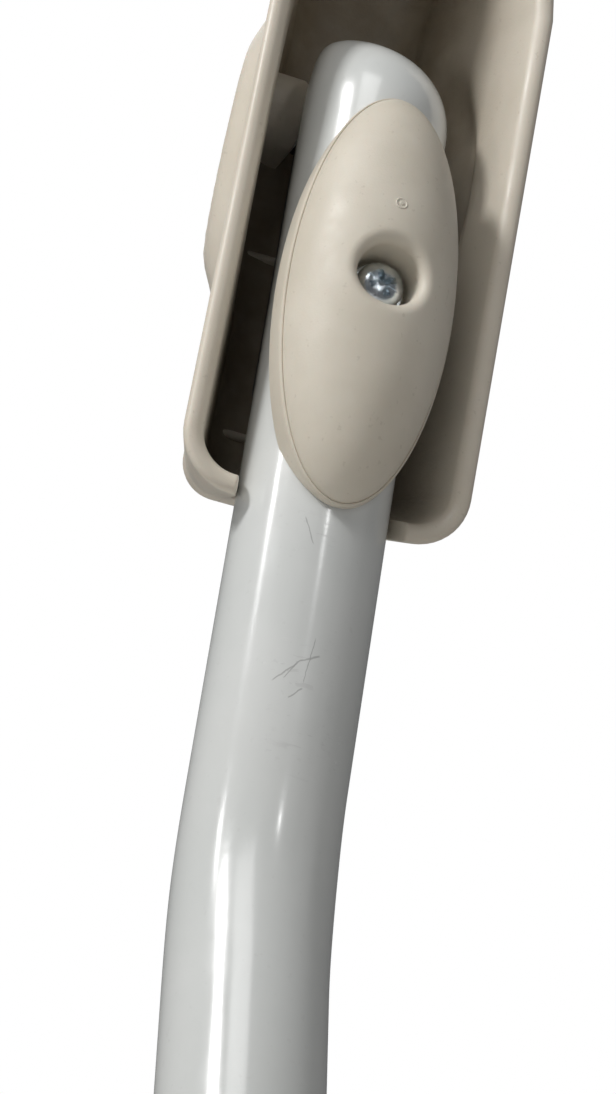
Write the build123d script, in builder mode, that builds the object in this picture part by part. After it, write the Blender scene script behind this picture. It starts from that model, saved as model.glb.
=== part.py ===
from build123d import *
import os
from math import cos, radians, sin, sqrt, tan

# A crank handle for a window: a bent tube turns on a wall rosette, and a trough-shaped
# grip folds over the tube's end. Millimetres. The origin is on the crank's axis at the
# rosette's wall face, +Y points out of the wall and +Z up along the arm.

# arm
tube_d = 25.0
tube_wall = 1.6
hub_reach = 27.0  # wall to the tube's axis, at the hub
lower_lean = 25.0  # lean of the arm away from the wall, in degrees, below the bend
upper_lean = 5.0  # and above it
bend_radius = 105.0
lower_run = 62.0  # crank axis to the bend
upper_run = 133.0  # bend to the nose
tube_start = 13.0  # crank axis to the tube's foot
nose_radius = 19.0
nose_setback = 5.0
nose_blend = 4.0
nose_length = 22.0

# oval cap and its screw
cap_from_tip = 54.0
cap_length = 74.0
cap_width = 29.0
cap_rise = 11.0
cap_rim = 1.2  # rim above the tube's crown
cap_skirt = 5.5
cap_edge = 0.5  # flat step between the dome and the skirt
cap_well_d = 10.5
cap_seat = 3.0  # plastic left between the screw's well and the tube
well_round = 1.8
screw_d = 4.0
screw_clearance = 0.25
head_d = 8.0
head_h = 2.6
head_round = 1.43
washer_d = 9.0
washer_t = 0.8
lock_washer_d = 7.6
cross_slot = (4.4, 1.0, 1.6)  # length, width, depth
screw_end_inside = 1.0  # screw tip to the carrier's back
sleeve_d = 8.0

# pivot behind the tube's nose
pin_below_tip = 7.0
pin_behind_tube = 6.5  # tube's back to the pin's axis
pin_d = 5.0
running_gap = 0.05
carrier_width = 15.8
carrier_t = 8.0
carrier_tail = 9.0
carrier_corner = 3.0
cradle_h = 4.0  # how far the carrier reaches round the tube
knuckle_r = 6.0
lug_r = 7.0
lug_t = 4.5
lug_inside = 9.0
pin_end = 1.2  # pin past the lug
clip_d = 9.0
clip_t = 0.6
clip_gap = 0.3
bush_wall = 1.5
flange_t = 0.6
flange_d = 11.0
insert_d = 6.0
insert_l = 6.0
insert_inset = 0.5

# grip
grip_width = 50.0
grip_top_width = 37.0
grip_wall = 3.4
shoulder_above_pin = 5.0
grip_below_pin = 81.0
grip_above_pin = 52.0
lip_before_pin = 32.0
floor_behind_pin = 8.8
crown_above_pin = 32.0  # where the back starts to lean in towards the top
crown_depth = 22.0
crown_r = 16.0
crown_over = 2.0
floor_rise = 11.5  # how much shallower the trough is at its lower end
corner_r = 10.0
top_corner_r = 15.0
back_r = 10.0
lip_round = 1.5
notch_gap = 0.6
swell_out = 2.4
swell_length = 40.0
swell_depth = 22.0
swell_ahead = 8.0  # its centre, from the pin towards the lip
swell_below = 6.0
notch_reach = 8.0
lip_slot = (7.0, 0.9, 1.2)
lip_slot_below_pin = 16.0
lip_slot_from_lip = 4.5
rib_h = 1.0
rib_t = 1.6
rib_from_end = 10.0
rib_pitch = 35.0
bumper_d = 9.0
bumper_round = 1.0
bumper_from_end = 17.0
seat_gap = 0.5

# hub, spindle and rosette
hub_d = 38.0
hub_gap = 0.8  # cover to hub
hub_over_tube = 3.0  # tube's foot to the hub's front
hub_front_r = 9.0
hub_back_r = 1.5
socket_wall = 3.6
socket_length = 34.0
socket_bore = 0.03  # radial
socket_round = 1.2
neck_d = 16.0
neck_end = 1.2
root_depth = 4.0  # neck and collar inside the hub
collar_d = 24.0
spindle_top = 24.0
rivet_d = 5.0
rivet_inset = 0.4
rivet_chamfer = 0.6
rivet_from_mouth = 9.0
spindle_side = 8.0
spindle_out = 24.0
spindle_chamfer = 0.8
screw_land = 12.0  # spindle to the head of its screw
hub_screw_d = 5.0
hub_screw_head = (9.0, 4.0)
hub_screw_length = 24.0
hex_key = (2.3, 2.5)  # radius, depth
head_clearance = 0.3
hub_cap_recess = 1.4
hub_cap_clearance = 0.15
hub_cap_d = 14.0
hub_cap_t = 2.2
hub_cap_round = 1.2
bush_wall_t = 2.0
bush_flange = (26.0, 1.6)
wave_t = 0.5
side_play = 0.1
thrust_proud = 1.0  # thrust washer past the collar
thrust_t = 0.8
circlip_t = 1.0
circlip_groove = 0.8
circlip_proud = 2.0
plate_t = 8.0
plate_width = 37.0
plate_length = 66.0
pocket_depth = 4.2
pocket_d = 30.0
cover_wall = 2.4
cover_gap = 0.25
cover_round = 4.0
cover_bore_gap = 1.0
cover_hole_d = 9.2
screw_spacing = 48.0
plate_hole_d = 4.6
edge_break = 0.5
cut_past = 10.0  # cutters reach past what they cut

os.makedirs("parts", exist_ok=True)


def lean_dir(degrees):
    """Unit vector that rises along Z and leans out along Y."""
    return Vector(0, sin(radians(degrees)), cos(radians(degrees)))


# the arm's axis: foot, bend, nose
lower_dir = lean_dir(lower_lean)
upper_dir = lean_dir(upper_lean)
hub_centre = Vector(0, hub_reach, 0)
bend_start = hub_centre + lower_dir * lower_run
bend_step_y = bend_radius * (cos(radians(upper_lean)) - cos(radians(lower_lean)))
bend_step_z = bend_radius * (sin(radians(lower_lean)) - sin(radians(upper_lean)))
bend_end = bend_start + Vector(0, bend_step_y, bend_step_z)
nose_tip = bend_end + upper_dir * upper_run
front = Vector(0, -cos(radians(upper_lean)), sin(radians(upper_lean)))
tube_r = tube_d / 2

# the pivot and the planes that the grip is built from
pin_at = nose_tip - upper_dir * pin_below_tip - front * (tube_r + pin_behind_tube)
pin_y = pin_at.Y
pin_z = pin_at.Z
lip_y = pin_y - lip_before_pin
cap_at = nose_tip - upper_dir * cap_from_tip
cap_plane = Plane(origin=cap_at, x_dir=(1, 0, 0), z_dir=front)
rivet_at = hub_centre + lower_dir * (socket_length - rivet_from_mouth)
rivet_plane = Plane(origin=rivet_at, x_dir=(0, 1, 0), z_dir=(1, 0, 0))


def save(builder, name):
    builder.part.label = name
    export_step(builder.part, f"parts/{name}.step")


def up_the_tube(along_from_tip):
    """Plane across the upper tube, its Y pointing to the tube's back."""
    return Plane(origin=nose_tip - upper_dir * along_from_tip, x_dir=(1, 0, 0), z_dir=upper_dir)


# ---- arm tube -------------------------------------------------------------------------
def arm_rod(radius, start, stop_before_tip):
    """Solid rod along the arm's axis."""
    foot = hub_centre + lower_dir * start
    with BuildPart() as rod:
        with BuildLine() as axis:
            low = Line(foot, bend_start)
            bend = TangentArc(bend_start, bend_end, tangent=lower_dir)
            Line(bend_end, nose_tip - upper_dir * stop_before_tip)
        with BuildSketch(Plane(origin=foot, x_dir=(1, 0, 0), z_dir=lower_dir)):
            Circle(radius)
        sweep(path=axis.wires()[0])
    return rod.part


with BuildPart() as nose:
    with BuildSketch(up_the_tube(nose_length)):
        Circle(tube_r)
    extrude(amount=nose_length)
    ball_at = nose_tip - upper_dir * nose_radius - front * nose_setback
    with Locations(ball_at):
        Sphere(nose_radius, mode=Mode.INTERSECT)
    rim = nose.edges().filter_by(lambda e: (e.center() - nose_tip).dot(upper_dir) > -nose_length + 1)
    fillet(rim.sort_by(Edge.length)[-1], nose_blend)

with BuildPart() as arm_tube:
    add(arm_rod(tube_r, tube_start, nose_length))
    add(nose.part)
    add(arm_rod(tube_r - tube_wall, tube_start, nose_length + 1), mode=Mode.SUBTRACT)
    with BuildSketch(cap_plane):
        Circle(screw_d / 2 + screw_clearance)
    extrude(amount=tube_d, both=True, mode=Mode.SUBTRACT)
    with BuildSketch(rivet_plane):
        Circle(rivet_d / 2)
    extrude(amount=tube_d, both=True, mode=Mode.SUBTRACT)
save(arm_tube, "arm_tube")

# ---- oval cap -------------------------------------------------------------------------
rim_level = tube_r + cap_rim
seat_level = tube_r + cap_seat
with BuildPart() as dome:
    Sphere(1.0)
    scale(by=(cap_width / 2 - cap_edge, cap_length / 2 - cap_edge, cap_rise))

with BuildPart() as oval_cap:
    with BuildSketch(cap_plane.offset(rim_level - cap_skirt)):
        Ellipse(cap_width / 2, cap_length / 2)
    extrude(amount=cap_skirt)
    with Locations(cap_plane.offset(rim_level)):
        add(dome.part)
    with BuildSketch(up_the_tube(cap_from_tip)):
        Circle(tube_r + running_gap)
    extrude(amount=cap_length, both=True, mode=Mode.SUBTRACT)
    with BuildSketch(cap_plane):
        Rectangle(2 * cap_width, 2 * cap_length)
    extrude(amount=rim_level - cap_skirt, mode=Mode.SUBTRACT)
    with BuildSketch(cap_plane.offset(seat_level)):
        Circle(cap_well_d / 2)
    extrude(amount=cap_rise + tube_r, mode=Mode.SUBTRACT)
    with BuildSketch(cap_plane):
        Circle(screw_d / 2 + screw_clearance)
    extrude(amount=tube_d, mode=Mode.SUBTRACT)
    mouth = oval_cap.edges().filter_by(
        lambda e: (e.center() - cap_at).dot(front) > rim_level and e.length < 4 * cap_well_d
    )
    fillet(mouth.sort_by(lambda e: (e.center() - cap_at).dot(front))[-1], well_round)
save(oval_cap, "oval_cap")


def ring(name, plane, outer_d, inner_d, thickness):
    """Flat ring whose lower face lies on the plane."""
    with BuildPart() as piece:
        with BuildSketch(plane):
            Circle(outer_d / 2)
            Circle(inner_d / 2, mode=Mode.SUBTRACT)
        extrude(amount=thickness)
    save(piece, name)


washer_hole = screw_d + 2 * screw_clearance
ring("cap_washer", cap_plane.offset(seat_level), washer_d, washer_hole, washer_t)
lock_level = seat_level + washer_t
ring("lock_washer", cap_plane.offset(lock_level), lock_washer_d, washer_hole, washer_t)

head_level = lock_level + washer_t
screw_tip = -(tube_r + carrier_t - screw_end_inside)
with BuildPart() as cap_screw:
    with BuildSketch(cap_plane.offset(screw_tip)):
        Circle(screw_d / 2)
    extrude(amount=head_level - screw_tip)
    with BuildSketch(cap_plane.offset(head_level)):
        Circle(head_d / 2)
    extrude(amount=head_h)
    crown = cap_screw.faces().sort_by(lambda f: (f.center() - cap_at).dot(front))[-1]
    fillet(crown.edges(), head_round)
    with BuildSketch(cap_plane.offset(head_level + head_h)):
        Rectangle(cross_slot[0], cross_slot[1])
        Rectangle(cross_slot[1], cross_slot[0])
    extrude(amount=-cross_slot[2], mode=Mode.SUBTRACT)
save(cap_screw, "cap_screw")

sleeve_half = sqrt((tube_r - tube_wall) ** 2 - (sleeve_d / 2) ** 2)
ring("crush_sleeve", cap_plane.offset(-sleeve_half), sleeve_d, washer_hole, 2 * sleeve_half)

# ---- pivot carrier, screwed to the tube's back ----------------------------------------
back_level = tube_r + carrier_t
pin_plane = Plane(origin=pin_at, x_dir=(0, 1, 0), z_dir=(1, 0, 0))
with BuildPart() as pivot_carrier:
    with BuildSketch(cap_plane.offset(-back_level)):
        reach = cap_from_tip - pin_below_tip
        with Locations((0, (reach - carrier_tail) / 2)):
            RectangleRounded(carrier_width, reach + carrier_tail, carrier_corner)
    extrude(amount=carrier_t + cradle_h)
    with BuildSketch(pin_plane):
        Circle(knuckle_r)
    extrude(amount=carrier_width / 2, both=True)
    with BuildSketch(up_the_tube(cap_from_tip)):
        Circle(tube_r + running_gap)
    extrude(amount=2 * cap_length, both=True, mode=Mode.SUBTRACT)
    with BuildSketch(pin_plane):
        Circle(pin_d / 2)
    extrude(amount=carrier_width, both=True, mode=Mode.SUBTRACT)
    with BuildSketch(cap_plane):
        Circle(insert_d / 2)
    extrude(amount=-2 * back_level, mode=Mode.SUBTRACT)
save(pivot_carrier, "pivot_carrier")

ring("threaded_insert", cap_plane.offset(insert_inset - back_level), insert_d, screw_d, insert_l)

lug_outside = lug_inside + lug_t
with BuildPart() as hinge_pin:
    with BuildSketch(pin_plane):
        Circle(pin_d / 2)
    extrude(amount=lug_outside + pin_end, both=True)
    chamfer(hinge_pin.edges().filter_by(GeomType.CIRCLE), edge_break)
save(hinge_pin, "hinge_pin")



def side_plane(side, out):
    """Plane square to X, facing outwards, its origin on the pin's axis."""
    return Plane(origin=pin_at + Vector(side * out, 0, 0), x_dir=(0, 1, 0), z_dir=(side, 0, 0))


for side, name in ((-1, "left"), (1, "right")):
    bush_plane = side_plane(side, lug_inside - flange_t)
    with BuildPart() as bush:
        with BuildSketch(bush_plane):
            Circle(flange_d / 2)
        extrude(amount=flange_t)
        with BuildSketch(bush_plane):
            Circle(pin_d / 2 + running_gap + bush_wall)
        extrude(amount=flange_t + lug_t)
        with BuildSketch(bush_plane):
            Circle(pin_d / 2 + running_gap)
        extrude(amount=flange_t + lug_t, mode=Mode.SUBTRACT)
    save(bush, f"{name}_hinge_bush")
    ring(f"{name}_pin_clip", side_plane(side, lug_outside + clip_gap), clip_d, pin_d, clip_t)


# ---- grip -----------------------------------------------------------------------------
floor_slope = floor_rise / grip_below_pin


def trough(inset, overhang):
    """The trough's solid form, inset by a wall, and standing proud of the lip by overhang."""
    half = grip_width / 2 - inset
    half_top = grip_top_width / 2 - inset
    bottom = pin_z - grip_below_pin + inset
    top = pin_z + grip_above_pin - inset
    floor_y = pin_y + floor_behind_pin + grip_wall - inset
    shoulder = pin_z + shoulder_above_pin
    with BuildPart() as front_form:
        with BuildSketch(Plane.XZ.offset(-lip_y)):
            with BuildLine():
                Polyline(
                    (-half, bottom),
                    (half, bottom),
                    (half, shoulder),
                    (half_top, top),
                    (-half_top, top),
                    (-half, shoulder),
                    close=True,
                )
            make_face()
            fillet(vertices().group_by(Axis.Y)[0], corner_r - inset)
            fillet(vertices().group_by(Axis.Y)[-1], top_corner_r - inset)
        extrude(amount=-(floor_y - lip_y))
        if overhang:
            extrude(front_form.faces().sort_by(Axis.Y)[0], amount=overhang)
    with BuildPart() as side_form:
        with BuildSketch(Plane.YZ):
            with BuildLine():
                Polyline(
                    (lip_y - cut_past, bottom - cut_past),
                    (floor_y - floor_slope * (pin_z - bottom + cut_past), bottom - cut_past),
                    (floor_y, pin_z),
                    (floor_y, pin_z + crown_above_pin),
                    (lip_y + crown_depth, top + crown_over),
                    (lip_y - cut_past, top + crown_over),
                    close=True,
                )
            make_face()
            below_crown = pin_z + crown_above_pin + crown_over
            fillet(vertices().filter_by(lambda v: v.Y < below_crown).sort_by(Axis.Y)[-1], crown_r)
        extrude(amount=grip_width, both=True)
    with BuildPart() as form:
        add(front_form.part)
        add(side_form.part, mode=Mode.INTERSECT)
        floor = form.faces().filter_by(lambda f: abs(f.normal_at().X) < 0.01 and f.normal_at().Y > 0.3)
        fillet(form.edges().filter_by(lambda e: sum(e in f.edges() for f in floor) == 1), back_r - inset)
    return form.part


def floor_point(below_pin):
    """Point on the middle of the trough's sloping floor."""
    return Vector(0, pin_y + floor_behind_pin - floor_slope * below_pin, pin_z - below_pin)


mouth_along = (nose_tip.Z - pin_z + grip_below_pin) / upper_dir.Z
inner_half = grip_width / 2 - grip_wall


def swell(side):
    """Rounded pad on the outside of one wall, over the pivot."""
    with BuildPart() as pad:
        with BuildSketch(side_plane(side, grip_width / 2 - grip_wall / 2)):
            with Locations((-swell_ahead, -side * swell_below)):
                Ellipse(swell_depth / 2, swell_length / 2)
        extrude(amount=grip_wall / 2 + swell_out)
        outer = pad.faces().sort_by(Axis.X)[0 if side < 0 else -1]
        fillet(outer.edges(), 0.8 * swell_out)
    return pad.part


with BuildPart() as grip_shell:
    add(trough(0, 0))
    add(trough(grip_wall, cut_past), mode=Mode.SUBTRACT)
    fillet(grip_shell.faces().sort_by(Axis.Y)[0].edges(), lip_round)
    with BuildSketch(up_the_tube(mouth_along)):
        Circle(tube_r + notch_gap)
        Rectangle(tube_d + 2 * notch_gap, 2 * tube_d, align=(Align.CENTER, Align.MAX))
    extrude(amount=notch_reach, both=True, mode=Mode.SUBTRACT)
    for side in (-1, 1):
        add(swell(side))
        with BuildSketch(side_plane(side, lug_inside)):
            Circle(lug_r)
            Rectangle(floor_behind_pin + grip_wall / 2, 2 * lug_r, align=(Align.MIN, Align.CENTER))
        extrude(amount=lug_t)
        with Locations((side * inner_half, lip_y + lip_slot_from_lip, pin_z - lip_slot_below_pin)):
            Box(2 * lip_slot[2], lip_slot[1], lip_slot[0], mode=Mode.SUBTRACT)
    with BuildSketch(pin_plane):
        Circle(pin_d / 2 + running_gap + bush_wall)
    extrude(amount=lug_inside + lug_t, both=True, mode=Mode.SUBTRACT)
    for from_end in (rib_from_end, rib_from_end + rib_pitch):
        with Locations(floor_point(grip_below_pin - from_end)):
            Box(2 * (inner_half - back_r), 2 * rib_h, rib_t)
save(grip_shell, "grip_shell")

floor_up = Vector(0, -grip_below_pin, floor_rise).normalized()
bumper_foot = floor_point(grip_below_pin - bumper_from_end)
to_tube = ((bumper_foot - nose_tip).dot(front * -1) - tube_r) / floor_up.dot(front)
with BuildPart() as rest_bumper:
    with BuildSketch(Plane(origin=bumper_foot, x_dir=(1, 0, 0), z_dir=floor_up)):
        Circle(bumper_d / 2)
    extrude(amount=to_tube - seat_gap)
    fillet(rest_bumper.faces().sort_by(Axis.Y)[0].edges(), bumper_round)
save(rest_bumper, "rest_bumper")

# ---- hub and spindle ------------------------------------------------------------------
flange_y = plate_t + bush_flange[1]
cover_front = flange_y + cover_wall
hub_back = cover_front + hub_gap
tube_foot_y = hub_reach + lower_dir.Y * tube_start + lower_dir.Z * tube_r
hub_front = tube_foot_y + hub_over_tube
collar_back = flange_y + wave_t + side_play
thrust_y = pocket_depth - side_play - thrust_t
circlip_y = thrust_y - side_play - circlip_t
neck_root = hub_back + root_depth
head_y = spindle_top + screw_land


def wall_plane(y):
    """Plane parallel to the wall; a positive extrusion goes towards the wall."""
    return Plane.XZ.offset(-y)


def disc(y, diameter, thickness, mode=Mode.ADD):
    """Round disc that stands on the plane y and reaches out of the wall."""
    with Locations(wall_plane(y)):
        Cylinder(diameter / 2, thickness, align=(Align.CENTER, Align.CENTER, Align.MAX), mode=mode)


with BuildPart() as hub:
    disc(hub_back, hub_d, hub_front - hub_back)
    fillet(hub.faces().sort_by(Axis.Y)[-1].edges(), hub_front_r)
    fillet(hub.faces().sort_by(Axis.Y)[0].edges(), hub_back_r)
    with BuildSketch(Plane(origin=hub_centre, x_dir=(1, 0, 0), z_dir=lower_dir)):
        Circle(tube_r + socket_wall)
    extrude(amount=socket_length)
    mouth_face = hub.faces().filter_by(Plane(origin=hub_centre, z_dir=lower_dir)).sort_by(Axis.Z)[-1]
    fillet(mouth_face.edges(), socket_round)
    disc(neck_end, neck_d, neck_root - neck_end)
    disc(collar_back, collar_d, neck_root - collar_back)
    foot = hub_centre + lower_dir * tube_start
    with BuildSketch(Plane(origin=foot, x_dir=(1, 0, 0), z_dir=lower_dir)):
        Circle(tube_r + socket_bore)
    extrude(amount=socket_length, mode=Mode.SUBTRACT)
    with BuildSketch(wall_plane(circlip_y - running_gap)):
        Circle(neck_d)
        Circle(neck_d / 2 - circlip_groove, mode=Mode.SUBTRACT)
    extrude(amount=-circlip_t - 2 * running_gap, mode=Mode.SUBTRACT)
    with BuildSketch(wall_plane(neck_end)):
        Rectangle(spindle_side + 2 * running_gap, spindle_side + 2 * running_gap)
    extrude(amount=-(spindle_top - neck_end), mode=Mode.SUBTRACT)
    disc(neck_end, hub_screw_d + 2 * screw_clearance, hub_front, mode=Mode.SUBTRACT)
    disc(head_y, hub_screw_head[0] + 2 * head_clearance, hub_front, mode=Mode.SUBTRACT)
    disc(hub_front - hub_cap_recess, hub_cap_d + 2 * hub_cap_clearance, hub_front, mode=Mode.SUBTRACT)
    with BuildSketch(rivet_plane):
        Circle(rivet_d / 2)
    extrude(amount=2 * tube_d, both=True, mode=Mode.SUBTRACT)
save(hub, "hub")

with BuildPart() as tube_rivet:
    with BuildSketch(rivet_plane):
        Circle(rivet_d / 2)
    extrude(amount=tube_r + socket_wall - rivet_inset, both=True)
    chamfer(tube_rivet.edges().filter_by(GeomType.CIRCLE), rivet_chamfer)
save(tube_rivet, "tube_rivet")

with BuildPart() as drive_spindle:
    with BuildSketch(wall_plane(-spindle_out)):
        Rectangle(spindle_side, spindle_side)
    extrude(amount=-(spindle_top + spindle_out))
    chamfer(drive_spindle.faces().sort_by(Axis.Y)[0].edges(), spindle_chamfer)
    disc(head_y - hub_screw_length, hub_screw_d, hub_screw_length, mode=Mode.SUBTRACT)
save(drive_spindle, "drive_spindle")

with BuildPart() as hub_screw:
    disc(head_y - hub_screw_length, hub_screw_d, hub_screw_length)
    disc(head_y, *hub_screw_head)
    chamfer(hub_screw.faces().sort_by(Axis.Y)[-1].edges(), edge_break)
    with BuildSketch(wall_plane(head_y + hub_screw_head[1])):
        RegularPolygon(hex_key[0], 6)
    extrude(amount=hex_key[1], mode=Mode.SUBTRACT)
save(hub_screw, "hub_screw")

with BuildPart() as hub_cap:
    disc(hub_front - hub_cap_recess, hub_cap_d, hub_cap_t)
    fillet(hub_cap.faces().sort_by(Axis.Y)[-1].edges(), hub_cap_round)
save(hub_cap, "hub_cap")

# ---- rosette --------------------------------------------------------------------------
bush_outside = neck_d + 2 * (running_gap + bush_wall_t)


def screw_spots():
    """Places of the two wall screws."""
    return Locations((0, screw_spacing / 2), (0, -screw_spacing / 2))


with BuildPart() as rosette_plate:
    with BuildSketch(wall_plane(0)):
        SlotOverall(plate_length, plate_width, rotation=90)
    extrude(amount=-plate_t)
    disc(0, pocket_d, pocket_depth, mode=Mode.SUBTRACT)
    disc(0, bush_outside, plate_t, mode=Mode.SUBTRACT)
    with BuildSketch(wall_plane(0)):
        with screw_spots():
            Circle(plate_hole_d / 2)
    extrude(amount=-plate_t, mode=Mode.SUBTRACT)
save(rosette_plate, "rosette_plate")

cover_over = 2 * (cover_gap + cover_wall)
with BuildPart() as rosette_cover:
    with BuildSketch(wall_plane(0)):
        SlotOverall(plate_length + cover_over, plate_width + cover_over, rotation=90)
    extrude(amount=-cover_front)
    fillet(rosette_cover.faces().sort_by(Axis.Y)[-1].edges(), cover_round)
    with BuildSketch(wall_plane(0)):
        SlotOverall(plate_length + 2 * cover_gap, plate_width + 2 * cover_gap, rotation=90)
    extrude(amount=-flange_y, mode=Mode.SUBTRACT)
    disc(0, bush_flange[0] + 2 * cover_bore_gap, cover_front, mode=Mode.SUBTRACT)
    with BuildSketch(wall_plane(0)):
        with screw_spots():
            Circle(cover_hole_d / 2)
    extrude(amount=-cover_front, mode=Mode.SUBTRACT)
save(rosette_cover, "rosette_cover")

with BuildPart() as bearing_bush:
    disc(pocket_depth, bush_outside, plate_t - pocket_depth)
    disc(plate_t, *bush_flange)
    disc(pocket_depth, neck_d + 2 * running_gap, plate_t, mode=Mode.SUBTRACT)
save(bearing_bush, "bearing_bush")


def wall_ring(name, y, outer_d, inner_d, thickness):
    """Flat ring parallel to the wall."""
    with BuildPart() as piece:
        disc(y, outer_d, thickness)
        disc(y, inner_d, thickness, mode=Mode.SUBTRACT)
    save(piece, name)


wall_ring("wave_washer", flange_y, collar_d, neck_d + 2 * side_play, wave_t)
wall_ring("thrust_washer", thrust_y, collar_d + 2 * thrust_proud, neck_d + 2 * side_play, thrust_t)
circlip_inside = neck_d - 2 * circlip_groove
wall_ring("retaining_ring", circlip_y, neck_d + 2 * circlip_proud, circlip_inside, circlip_t)
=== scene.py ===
import bpy, bmesh
import numpy as np
from math import atan2, cos, pi, radians, sin, sqrt, tan, tau
from mathutils import Matrix, Vector


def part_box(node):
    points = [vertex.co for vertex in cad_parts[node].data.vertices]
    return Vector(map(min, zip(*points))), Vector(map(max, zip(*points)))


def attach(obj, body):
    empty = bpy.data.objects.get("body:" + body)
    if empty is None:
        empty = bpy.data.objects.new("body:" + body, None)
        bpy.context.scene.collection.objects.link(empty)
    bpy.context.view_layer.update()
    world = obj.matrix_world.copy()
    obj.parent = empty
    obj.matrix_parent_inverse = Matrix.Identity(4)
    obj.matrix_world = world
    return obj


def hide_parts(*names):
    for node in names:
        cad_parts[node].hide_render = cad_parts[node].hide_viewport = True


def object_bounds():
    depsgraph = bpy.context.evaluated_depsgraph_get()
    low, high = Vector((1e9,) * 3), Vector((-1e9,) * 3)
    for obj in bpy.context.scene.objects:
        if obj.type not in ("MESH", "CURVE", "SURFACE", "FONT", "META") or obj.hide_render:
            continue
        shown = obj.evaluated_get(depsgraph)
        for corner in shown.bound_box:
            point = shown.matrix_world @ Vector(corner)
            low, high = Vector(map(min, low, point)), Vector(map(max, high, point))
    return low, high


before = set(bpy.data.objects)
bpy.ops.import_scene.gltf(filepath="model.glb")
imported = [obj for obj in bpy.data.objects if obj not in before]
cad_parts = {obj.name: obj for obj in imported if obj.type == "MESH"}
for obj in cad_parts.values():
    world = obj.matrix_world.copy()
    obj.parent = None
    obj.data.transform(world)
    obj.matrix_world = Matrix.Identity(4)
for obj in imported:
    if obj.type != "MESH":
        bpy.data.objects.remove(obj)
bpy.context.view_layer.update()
mm = 0.001
across = Vector((1, 0, 0))
print("frame loaded")


# where things are: all of it follows from the hinge pin and the tube's own shape
arm = {
    "radius": 12.5 * mm,
    "wall": 1.6 * mm,
    "lowerLean": 25.0,          # degrees away from the wall, below the bend
    "upperLean": 5.0,
    "bendRadius": 105 * mm,
    "lowerRun": 62 * mm,
    "upperRun": 133 * mm,
    "foot": 13 * mm,            # hub centre to the tube's foot
    "openDepth": 9 * mm,        # how far the hollow foot is modelled
    "footEdge": 0.3 * mm,
    "boreEdge": 0.2 * mm,
    "noseHeight": 17 * mm,
    "noseSquareness": 2.3,
    "noseSide": 52.0,           # degrees round from straight back that the dome leans
    "noseDrift": 0.82,          # 1 would keep the dome's far side upright
    "pinBelowTip": 7 * mm,
    "capBelowTip": 54 * mm,
    "pinBehindTube": 6.5 * mm,
    "flattening": 0.012,        # how much the bend has squashed the tube
    "sides": 112,
}


def alongAt(lean):
    return Vector((0, sin(radians(lean)), cos(radians(lean))))


def outAt(lean):
    return Vector((0, -cos(radians(lean)), sin(radians(lean))))


pinLow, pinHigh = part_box("hinge_pin")
pin = (pinLow + pinHigh) / 2
along, out = alongAt(arm["upperLean"]), outAt(arm["upperLean"])
noseTip = pin + along * arm["pinBelowTip"] + out * (arm["radius"] + arm["pinBehindTube"])
bendEnd = noseTip - along * arm["upperRun"]
bendCentre = bendEnd + out * arm["bendRadius"]
bendStart = bendCentre - outAt(arm["lowerLean"]) * arm["bendRadius"]
hubCentre = bendStart - alongAt(arm["lowerLean"]) * arm["lowerRun"]
capCentre = noseTip - along * arm["capBelowTip"]


def addLink(tree, a, b):
    tree.links.new(a, b)


def addNode(tree, kind, **settings):
    node = tree.nodes.new(kind)
    for key, value in settings.items():
        if key in node.inputs:
            node.inputs[key].default_value = value
        else:
            setattr(node, key, value)
    return node


def addNoise(tree, where, scale, detail, rough=0.55):
    noise = addNode(tree, "ShaderNodeTexNoise", Scale=scale, Detail=detail, Roughness=rough)
    addLink(tree, where, noise.inputs["Vector"])
    return noise.outputs["Fac"]


def addRange(tree, value, low, high, outLow, outHigh):
    ranger = addNode(tree, "ShaderNodeMapRange", interpolation_type="SMOOTHSTEP")
    for key, number in (("From Min", low), ("From Max", high), ("To Min", outLow), ("To Max", outHigh)):
        ranger.inputs[key].default_value = number
    addLink(tree, value, ranger.inputs["Value"])
    return ranger.outputs["Result"]


def addMix(tree, factor, first, second):
    mixer = addNode(tree, "ShaderNodeMix", data_type="RGBA")
    for socket, value in ((mixer.inputs[0], factor), (mixer.inputs[6], first), (mixer.inputs[7], second)):
        if isinstance(value, bpy.types.NodeSocket):
            tree.links.new(value, socket)
        else:
            socket.default_value = value
    return mixer.outputs[2]


def addBump(tree, height, strength, distance, under=None):
    bump = addNode(tree, "ShaderNodeBump", Strength=strength, Distance=distance)
    addLink(tree, height, bump.inputs["Height"])
    if under:
        addLink(tree, under, bump.inputs["Normal"])
    return bump.outputs["Normal"]


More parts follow.
